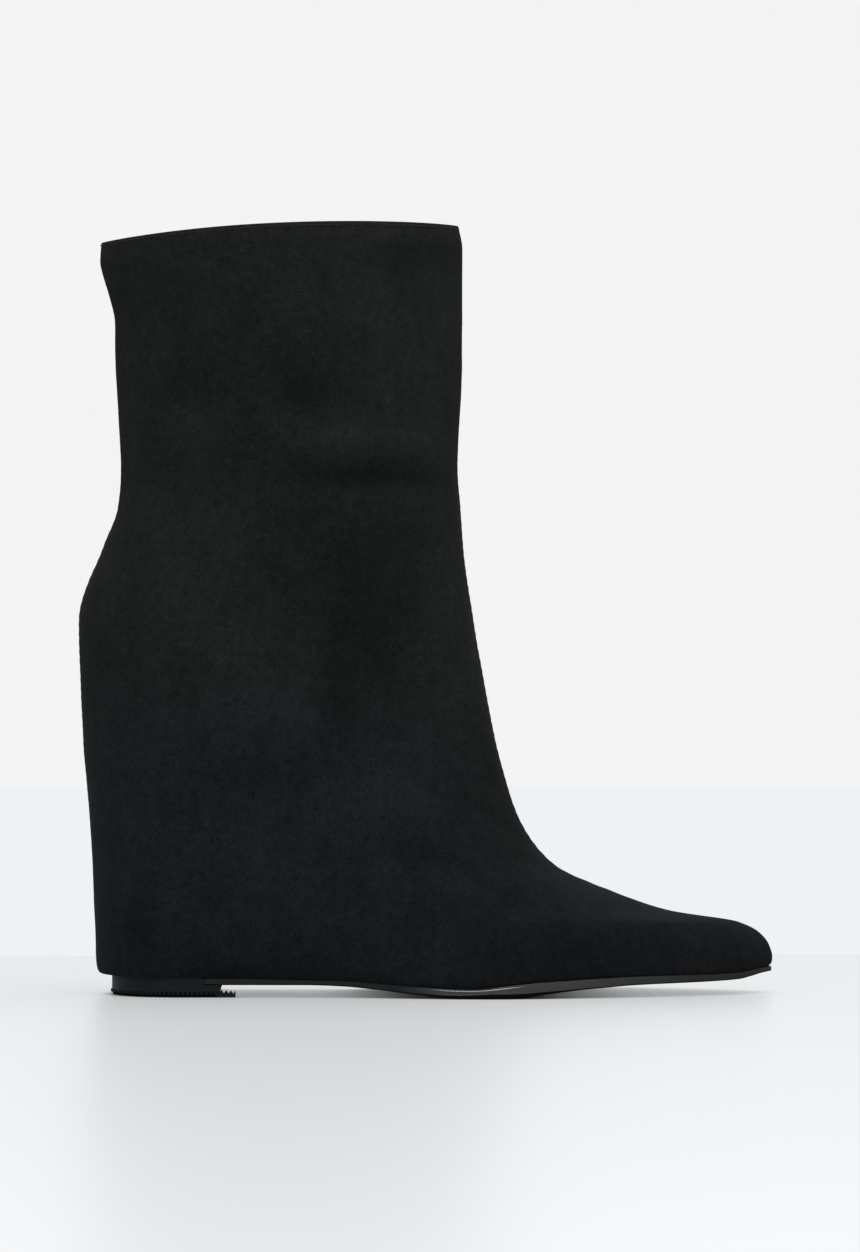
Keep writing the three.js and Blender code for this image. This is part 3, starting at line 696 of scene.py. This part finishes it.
STITCH_DROP = 0.12  # rows under the collar's edge
STITCH_REACH = 0.05  # rows to each side, for the direction out of the suede
STITCH_SAMPLES = 400
STITCH_PITCH = 2.1
STITCH_SHARE = 0.76  # of the pitch that the thread shows
STITCH_RADIUS = 0.2
STITCH_THINNING = 1.8
STITCH_RISE = 0.16  # its middle over the suede
STITCH_BEND = 1.1
STITCH_RINGS = 5
STITCH_SIDES = 6


def along_line(run, line, at):
    """What a row of points says at one place along it."""
    return np.array([np.interp(at, run, line[:, axis]) for axis in range(3)])


def stitch_ring(centre, out, t):
    """A ring of points round the thread at t, from -0.5 to 0.5 along the stitch."""
    up = np.array([0, 0, 1.0])
    centre = centre + out * (STITCH_RISE - STITCH_BEND * t * t)
    radius = STITCH_RADIUS * (1 - STITCH_THINNING * t * t)
    angles = 2 * math.pi * np.arange(STITCH_SIDES) / STITCH_SIDES
    return [centre + radius * (out * math.cos(a) + up * math.sin(a)) for a in angles]


def make_collar_stitching():
    """One line of short stitches just under the turned edge of the collar."""
    row = len(SECTIONS) - 1 - STITCH_DROP
    rows = [row - STITCH_REACH, row, row + STITCH_REACH]
    ring = ring_grid(rows, STITCH_SAMPLES)
    normals = grid_normals(ring)[1]
    line = np.append(ring[1], ring[1][:1], 0)
    normals = np.append(normals, normals[:1], 0)
    run = np.append(0, np.cumsum(np.linalg.norm(np.diff(line, axis=0), axis=1)))
    count = int(run[-1] / STITCH_PITCH)
    points, faces = [], []
    for i in range(count):
        middle = (i + 0.5) * run[-1] / count
        start = len(points)
        for t in np.linspace(-0.5, 0.5, STITCH_RINGS):
            at = middle + t * STITCH_PITCH * STITCH_SHARE
            out = along_line(run, normals, at)
            out /= np.linalg.norm(out)
            points += stitch_ring(along_line(run, line, at), out, t)
        for j in range(STITCH_RINGS - 1):
            first = start + j * STITCH_SIDES
            faces += ring_faces(STITCH_SIDES, first, first + STITCH_SIDES)
        end = len(points)
        faces.append(list(range(start + STITCH_SIDES - 1, start - 1, -1)))
        faces.append(list(range(end - STITCH_SIDES, end)))
    piece = mesh_object("collar_stitching", points, faces, [THREAD])


# The outsole and the heel lift

SOLE_STEPS = 380
ACROSS = 24
GROOVE_PITCH = 5.0
GROOVE_DEPTH = 0.35
GROOVES_FROM, GROOVES_TO = 0.5, 0.93  # shares of the sole's length
GROOVES_FADE = 0.03
GROOVE_EDGE, GROOVE_SLOPE = 0.5, 0.3  # of a wave from -1 to 1, where a groove begins
GROOVE_MARGIN = 2  # points across that stay plain at each side
# The sole's lower corner takes the tread's black, partly its own matt black and partly painted
# shade; its swell at the ball widens that painted shade under the ball's edge.
SWELL_AT, SWELL_REACH = 0.6, 0.075  # where the sole's lower corner is roundest
CORNER, CORNER_SWELL = 0.4, 1.3
BROW = 0.55  # share of the thickness over which the side wall swells out
BROW_REACH = 0.45
TUCK = 2.2  # how far the top lies in under the upper
TOP_DROP = 0.04  # how far under the upper's edge the top lies
BROW_ANGLES = np.radians([0, 15, 30, 45, 60, 75])
CORNER_ANGLES = np.radians([0, 22, 45, 68, 90])
FEATHER_BACK = SECTIONS[0][1] * SOLE_LENGTH
FEATHER_LONG = SECTIONS[0][2] * SOLE_LENGTH


def feather_line(x):
    """The upper's lower edge at each x, and the level directions out of it: for the
    inner side and for the outer side."""
    shares = (np.asarray(x, float) - FEATHER_BACK) / FEATHER_LONG
    sides = []
    for side, points in zip((1, -1), side_points([0], shares)):
        line = points[0] * (1, 1, 0)
        tangent = np.gradient(line, axis=0)
        out = np.stack([-tangent[:, 1], tangent[:, 0]], 1) * -side
        if out[len(out) // 2][1] * side < 0:
            out = -out
        out /= np.maximum(np.linalg.norm(out, axis=1, keepdims=True), 1e-9)
        sides.append((line[:, :2], out))
    return sides


EVEN_SHARE = 0.4


def crowded(start, end, steps):
    """Steps from start to end that crowd towards both of them."""
    i = np.arange(steps + 1) / steps
    share = EVEN_SHARE * i + (1 - EVEN_SHARE) * (1 - np.cos(i * math.pi)) / 2
    return start + (end - start) * share


def level_points(side, offset, height):
    """One side's line, moved out level by the offset and lifted to the height."""
    line, out = side
    flat = line + out * np.broadcast_to(offset, len(line))[:, None]
    return np.column_stack([flat, np.broadcast_to(height, len(line))])


def sole_profile(x):
    """Distance out of the upper's edge and height, for each line of the sole's side from
    its top to its underside."""
    share = x / SOLE_LENGTH
    lip = OUTSOLE_LIP * smooth((share - WAIST_END) / (BALL_AT - WAIST_END))
    top = FEATHER_HEIGHT + edge_rise(x) - TOP_DROP
    bottom = underside(x)
    thick = top - bottom
    swell = np.exp(-(((share - SWELL_AT) / SWELL_REACH) ** 2))
    corner = np.minimum(CORNER + CORNER_SWELL * swell, thick / 2)
    lines = [(lip - TUCK, top)]
    for angle in BROW_ANGLES:
        out = lip - BROW_REACH * (1 - math.sin(angle))
        lines.append((out, top - thick * BROW * (1 - math.cos(angle))))
    for angle in CORNER_ANGLES:
        out = lip - corner * (1 - math.cos(angle))
        lines.append((out, bottom + corner * (1 - math.sin(angle))))
    return lines


def cross_grooves(x):
    """The depth of the grooves across the forefoot's underside."""
    share = x / SOLE_LENGTH
    begun = smooth((share - GROOVES_FROM) / GROOVES_FADE)
    left = smooth((GROOVES_TO - share) / GROOVES_FADE)
    wave = np.cos(2 * math.pi * x / GROOVE_PITCH)
    return GROOVE_DEPTH * begun * left * smooth((wave - GROOVE_EDGE) / GROOVE_SLOPE)


def make_outsole():
    x = crowded(FEATHER_BACK + FEATHER_LONG, TONGUE_BACK, SOLE_STEPS)
    inner, outer = feather_line(x)
    profile = sole_profile(x)
    near = [level_points(outer, *line) for line in profile]
    away = [level_points(inner, *line) for line in profile]
    groove = cross_grooves(x)
    tread = []
    for k in range(1, ACROSS):
        line = near[-1] + (away[-1] - near[-1]) * k / ACROSS
        line[:, 2] += groove * (GROOVE_MARGIN < k < ACROSS - GROOVE_MARGIN)
        tread.append(line)
    grid = np.stack(near + tread + away[::-1], 1)
    stations, width = grid.shape[:2]
    faces = []
    for i in range(stations - 1):
        faces += ring_faces(width, i * width, (i + 1) * width)
    faces.append(list(range((stations - 1) * width, stations * width)))
    faces.append(list(range(width - 1, -1, -1)))
    piece = mesh_object("outsole_moulded", grid.reshape(-1, 3), faces, [SOLE, TREAD_AND_SHADE])
    number = np.arange(len(faces))
    place = number % width
    wall = len(BROW_ANGLES) + 1
    # The lower corner and the underside take the tread's black, which on the corner is also
    # painted shade.
    under = (place >= wall) & (place < width - wall - 1) & (number < (stations - 1) * width)
    piece.data.polygons.foreach_set("material_index", under.astype(int).tolist())
    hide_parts("outsole")


LIFT_TOP = FEATHER_HEIGHT - 0.02
LIFT_STEP = WAIST_CLEARANCE - 0.02  # the outsole's rear end lies on it
LIFT_INSET = 0.1  # of the wall above the ribs
RIB_PITCH = 1.56
RIB_DEPTH = 0.4
RIB_SHARPNESS = 1.1
# height, distance out of the lift's wall, share of the ribs
LIFT_LEVELS = [
    (0.0, -0.55, 0),
    (0.3, -0.45, 0),
    (0.75, -0.25, 0.3),
    (0.95, -0.05, 1),
    (1.6, -0.05, 1),
    (1.85, -0.05, 0.6),
    (2.05, -LIFT_INSET, 0),
    (3.6, -LIFT_INSET, 0),
    (LIFT_STEP, -LIFT_INSET, 0),
]
# The tread's black below the foot line is also painted shade along the lift's undercut foot.
FOOT_LINE = 0.96  # below it the lift is its dark tread
RIBS_END = 1.95
# A valley between the ribs takes the tread's black as painted shade.
VALLEY = 0.9  # a face whose two ribs' heights add up to less is a valley
LIFT_STEPS = 280
HOLLOW_STEPS = 24
HOLLOW_RUN = 2.5  # how far back the hollow is felt, in its own depths
HOLLOW_POWER = 4
TREAD_FRONT = LIFT_FRONT + TREAD_LIP
COMB_STEPS = 72
COMB_ROOT = 1.5  # how far the comb reaches back into the lift
COMB_DROP = 0.1
TOOTH_HEIGHT = 1.1
HEEL_XS = np.linspace(FEATHER_BACK, TREAD_FRONT, 200)  # where the heel's width is read
HEEL_SIDES = feather_line(HEEL_XS)
SHARP_ANGLE = math.radians(50)
LIFT_WELD = 0.00001  # in metres, as the next one is
SOCK_WELD = 0.00002
EASED_ANGLE = math.radians(40)


def rib_height(points):
    """From 0 in the valleys of the lift's ribs to 1 on them, along a line of points."""
    run = np.append(0, np.cumsum(np.linalg.norm(np.diff(points[:, :2], axis=0), axis=1)))
    return smooth(0.5 + RIB_SHARPNESS * np.cos(2 * math.pi * run / RIB_PITCH))


def lift_front(height):
    """Where the lift's slanted front stands at a height."""
    rise = np.clip((height - TREAD_HEIGHT) / (LIFT_TOP - TREAD_HEIGHT), 0, 1)
    return LIFT_FRONT - LIFT_UNDERCUT * (1 - rise)


def lift_columns(front):
    return crowded(front, FEATHER_BACK, LIFT_STEPS)


def lift_sides(height, offset, ribs, front=None):
    """One level of the lift's wall from its front to the heel, inner and outer side."""
    x = lift_columns(lift_front(height) if front is None else front)
    wall = offset - GAP
    return [
        level_points(side, wall + RIB_DEPTH * ribs * rib_height(side[0]), height)
        for side in feather_line(x)
    ]


def across(inner, outer):
    """Rows of points from one side over to the other, crowding towards both."""
    i = np.arange(HOLLOW_STEPS + 1) / HOLLOW_STEPS
    shares = ((1 - np.cos(i * math.pi)) / 2)[None, :, None]
    return inner[:, None] + (outer - inner)[:, None] * shares


def hollowed(points):
    """Draws the lift's front back in a hollow between its two corners."""
    x, y, z = points.T
    sides = [np.interp(x, HEEL_XS, side[0][:, 1]) for side in HEEL_SIDES]
    middle, half = (sides[0] + sides[1]) / 2, (sides[0] - sides[1]) / 2 - LIFT_CORNER
    share = np.clip(np.abs((y - middle) / half), 0, 1)
    run = HOLLOW_RUN * LIFT_HOLLOW
    felt = np.clip((x - TREAD_FRONT + run) / run, 0, 1)
    depth = LIFT_HOLLOW * (1 - share**HOLLOW_POWER) * felt
    return np.column_stack([x - depth, y, z])


def grid_faces(rows, columns, start):
    """Quads of a grid of points, rows by columns."""
    i, j = np.meshgrid(np.arange(rows - 1), np.arange(columns - 1), indexing="ij")
    first = (start + i * columns + j).ravel()
    return np.stack([first, first + 1, first + columns + 1, first + columns], 1)


def stack(levels):
    """A closed body through levels of an inner and an outer side: its floor, its top, and
    its walls with the hollowed front."""
    width = HOLLOW_STEPS + 1
    floor, top = across(*levels[0]), across(*levels[-1])
    rings = [
        np.concatenate([inner, outer[-2::-1], across(inner[:1], outer[:1])[0, -2:0:-1]])
        for inner, outer in levels
    ]
    count = len(rings[0])
    points = np.concatenate([floor.reshape(-1, 3), top.reshape(-1, 3), *rings])
    rows = len(floor)
    faces = grid_faces(rows, width, 0).tolist()
    faces += grid_faces(rows, width, rows * width)[:, ::-1].tolist()
    start = 2 * rows * width
    for i in range(len(rings) - 1):
        faces += ring_faces(count, start + i * count, start + (i + 1) * count)
    return points, faces


def tread_comb():
    """The ribbed band's lip ahead of the lift's outer corner, toothed along its top."""
    x = np.linspace(LIFT_FRONT - LIFT_UNDERCUT - COMB_ROOT, TREAD_FRONT, COMB_STEPS)
    away, wall = (level_points(side, -GAP, 0) for side in feather_line(x))
    span = np.linalg.norm(away - wall, axis=1, keepdims=True)
    inset = 1 - np.clip(1 - (TREAD_FRONT - x) / LIFT_HOLLOW, 0, 1) ** (1 / HOLLOW_POWER)
    reach = LIFT_CORNER + inset * (span[:, 0] / 2 - LIFT_CORNER)
    tooth = np.abs(((TREAD_FRONT - x) / RIB_PITCH + 0.5) % 1 - 0.5) * 2
    up = (TREAD_HEIGHT - COMB_DROP - TOOTH_HEIGHT * tooth)[:, None] * np.array([0, 0, 1])
    foot = [wall, wall + (away - wall) / span * reach[:, None]]
    loops = np.stack([foot[0], foot[1], foot[1] + up, foot[0] + up], 1)
    faces = []
    for i in range(len(x) - 1):
        faces += ring_faces(4, i * 4, i * 4 + 4)
    last = (len(x) - 1) * 4
    faces += [[3, 2, 1, 0], [last, last + 1, last + 2, last + 3]]
    return loops.reshape(-1, 3), faces


def tread_and_shade_faces(points, faces):
    """The lift's faces that take the tread's black: its dark tread at the foot, which also stands
    as painted shade along it, and the valleys of its ribs, where the black is painted shade.
    """
    foot = lift_columns(LIFT_FRONT - LIFT_UNDERCUT)
    inner, outer = (rib_height(side[0]) for side in feather_line(foot))
    phases = np.concatenate([inner, outer[-2::-1], np.ones(HOLLOW_STEPS - 1)])
    count = len(phases)
    start = len(faces) - (len(LIFT_LEVELS) - 1) * count
    dark = []
    for i, face in enumerate(faces):
        heights = [points[j][2] for j in face]
        column = (i - start) % count
        valley = phases[column] + phases[(column + 1) % count] < VALLEY
        ribbed = i >= start and FOOT_LINE < max(heights) < RIBS_END
        dark.append(max(heights) < FOOT_LINE or (ribbed and valley))
    return dark


def make_lift():
    body_points, body_faces = stack([lift_sides(*level) for level in LIFT_LEVELS])
    dark = tread_and_shade_faces(body_points, body_faces)
    block_front = TONGUE_BACK - GAP
    block = [lift_sides(z, -LIFT_INSET, 0, block_front) for z in (LIFT_STEP, LIFT_TOP)]
    parts = [(hollowed(body_points), body_faces), stack(block), tread_comb()]
    points, faces = np.zeros((0, 3)), []
    for more_points, more_faces in parts:
        faces += [[i + len(points) for i in face] for face in more_faces]
        points = np.concatenate([points, more_points])
    piece = mesh_object("heel_lift_ribbed", points, faces, [RUBBER, TREAD_AND_SHADE])
    dark += [False] * (len(faces) - len(dark))
    piece.data.polygons.foreach_set("material_index", [int(value) for value in dark])
    split = piece.modifiers.new("sharp", "EDGE_SPLIT")
    split.split_angle = SHARP_ANGLE
    weld_first(piece)
    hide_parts("heel_lift")


def weld_first(piece):
    """Joins the parts' shared points before their sharp edges are split."""
    weld = piece.modifiers.new("weld", "WELD")
    weld.merge_threshold = LIFT_WELD
    piece.modifiers.move(len(piece.modifiers) - 1, 0)


def rounded_copy(node, name, material, bevel):
    """A finer piece from a node's own solid, with its edges eased."""
    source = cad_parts[node]
    obj = bpy.data.objects.new(name, source.data.copy())
    obj.matrix_world = source.matrix_world
    bpy.context.scene.collection.objects.link(obj)
    obj.data.materials.clear()
    obj.data.materials.append(material)
    weld = obj.modifiers.new("weld", "WELD")
    weld.merge_threshold = SOCK_WELD
    eased = obj.modifiers.new("eased", "BEVEL")
    eased.width = bevel
    eased.segments = 2
    eased.limit_method = "ANGLE"
    eased.angle_limit = EASED_ANGLE
    eased.harden_normals = False
    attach(obj, "root")
    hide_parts(node)
    return obj


make_upper()
make_collar_stitching()
make_outsole()
make_lift()
sock = rounded_copy("insole", "sock", SOCK, 0.0006)
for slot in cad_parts["wedge"].material_slots:
    slot.material = FOAM


# Floor, light and camera

FLOOR_ROUGHNESS = 0.32
CONTACT_REACH = 0.0044  # how near a piece has to be to shade the lit sheet
FLOOR_EDGE = 0.2915  # where the floor meets the backdrop, behind the boot


def stage_material(name, color, glow, shine):
    """A pale sheet lit from below, as a light table is, with a soft reflection on it and
    a thin shade where a piece nearly touches it."""
    material, nodes, links = new_material(name)
    sheet = nodes["Principled BSDF"]
    sheet.inputs["Base Color"].default_value = (*color, 1)
    sheet.inputs["Roughness"].default_value = 1
    sheet.inputs["Specular IOR Level"].default_value = 0
    sheet.inputs["Emission Color"].default_value = (0.955, 0.98, 1, 1)
    sheet.inputs["Emission Strength"].default_value = glow
    gloss = nodes.new("ShaderNodeBsdfGlossy")
    gloss.inputs["Roughness"].default_value = FLOOR_ROUGHNESS
    gloss.inputs["Color"].default_value = (0.765, 0.785, 0.8, 1)
    mixed = nodes.new("ShaderNodeMixShader")
    mixed.inputs["Fac"].default_value = shine
    links.new(sheet.outputs["BSDF"], mixed.inputs[1])
    links.new(gloss.outputs["BSDF"], mixed.inputs[2])
    nearness = nodes.new("ShaderNodeAmbientOcclusion")
    nearness.inputs["Distance"].default_value = CONTACT_REACH
    nearness.samples = 16
    shaded = nodes.new("ShaderNodeMixShader")
    links.new(nearness.outputs["AO"], shaded.inputs["Fac"])
    links.new(mixed.outputs["Shader"], shaded.inputs[2])
    links.new(shaded.outputs["Shader"], nodes["Material Output"].inputs["Surface"])
    return material


FLOOR_NEAR, FLOOR_FAR, FLOOR_SIDE = -3.0, 6.0, 4.0


def make_stage():
    levels = [FLOOR_NEAR, FLOOR_EDGE, FLOOR_FAR]
    points = [(side, y, 0) for y in levels for side in (-FLOOR_SIDE, FLOOR_SIDE)]
    mesh = bpy.data.meshes.new("floor")
    mesh.from_pydata(points, [], [(0, 1, 3, 2), (2, 3, 5, 4)])
    mesh.materials.append(stage_material("floor_pale", (0.22, 0.22, 0.222), 0.565, 0.38))
    mesh.materials.append(stage_material("floor_far", (0.0, 0.0, 0.0), 0.905, 0))
    mesh.polygons[1].material_index = 1
    floor = bpy.data.objects.new("floor", mesh)
    bpy.context.scene.collection.objects.link(floor)


def area_light(name, place, aim, size, energy):
    data = bpy.data.lights.new(name, "AREA")
    data.shape = "RECTANGLE"
    data.size, data.size_y = size
    data.energy = energy
    light = bpy.data.objects.new(name, data)
    light.location = place
    light.rotation_euler = (Vector(aim) - Vector(place)).to_track_quat("-Z", "Y").to_euler()
    bpy.context.scene.collection.objects.link(light)


CAMERA_DISTANCE = 1.75
CAMERA_HEIGHT = 0.09
VIEW_HEIGHT = 0.1244  # level of the picture's middle, at the boot
YAW = math.radians(-2.0)
PIVOT_X = 0.0012
PIXELS_PER_METRE = 2950
IMAGE_HEIGHT = 1252
SENSOR = 36


def make_camera():
    data = bpy.data.cameras.new("camera")
    data.sensor_fit = "VERTICAL"
    data.sensor_height = SENSOR
    data.lens = SENSOR * CAMERA_DISTANCE * PIXELS_PER_METRE / IMAGE_HEIGHT
    data.shift_y = (VIEW_HEIGHT - CAMERA_HEIGHT) * PIXELS_PER_METRE / IMAGE_HEIGHT
    camera = bpy.data.objects.new("camera", data)
    forward = Vector((-math.sin(YAW), math.cos(YAW), 0))
    camera.location = Vector((PIVOT_X, 0, CAMERA_HEIGHT)) - CAMERA_DISTANCE * forward
    camera.rotation_euler = forward.to_track_quat("-Z", "Y").to_euler()
    bpy.context.scene.collection.objects.link(camera)
    bpy.context.scene.camera = camera


def make_light():
    world = bpy.data.worlds.new("studio")
    world.use_nodes = True
    background = world.node_tree.nodes["Background"]
    background.inputs["Color"].default_value = (0.90, 0.90, 0.90, 1)
    background.inputs["Strength"].default_value = 1.0
    bpy.context.scene.world = world
    # name, place, aim, size and energy
    area_light("overhead", (0.1, -0.1, 1.3), (0, 0, 0.1), (1.2, 1.2), 15)
    area_light("front_strip", (-0.05, -1.2, 0.42), (0.0, 0, 0.01), (1.2, 0.06), 5)
    bpy.context.scene.view_settings.view_transform = "Standard"


make_stage()
make_light()
make_camera()
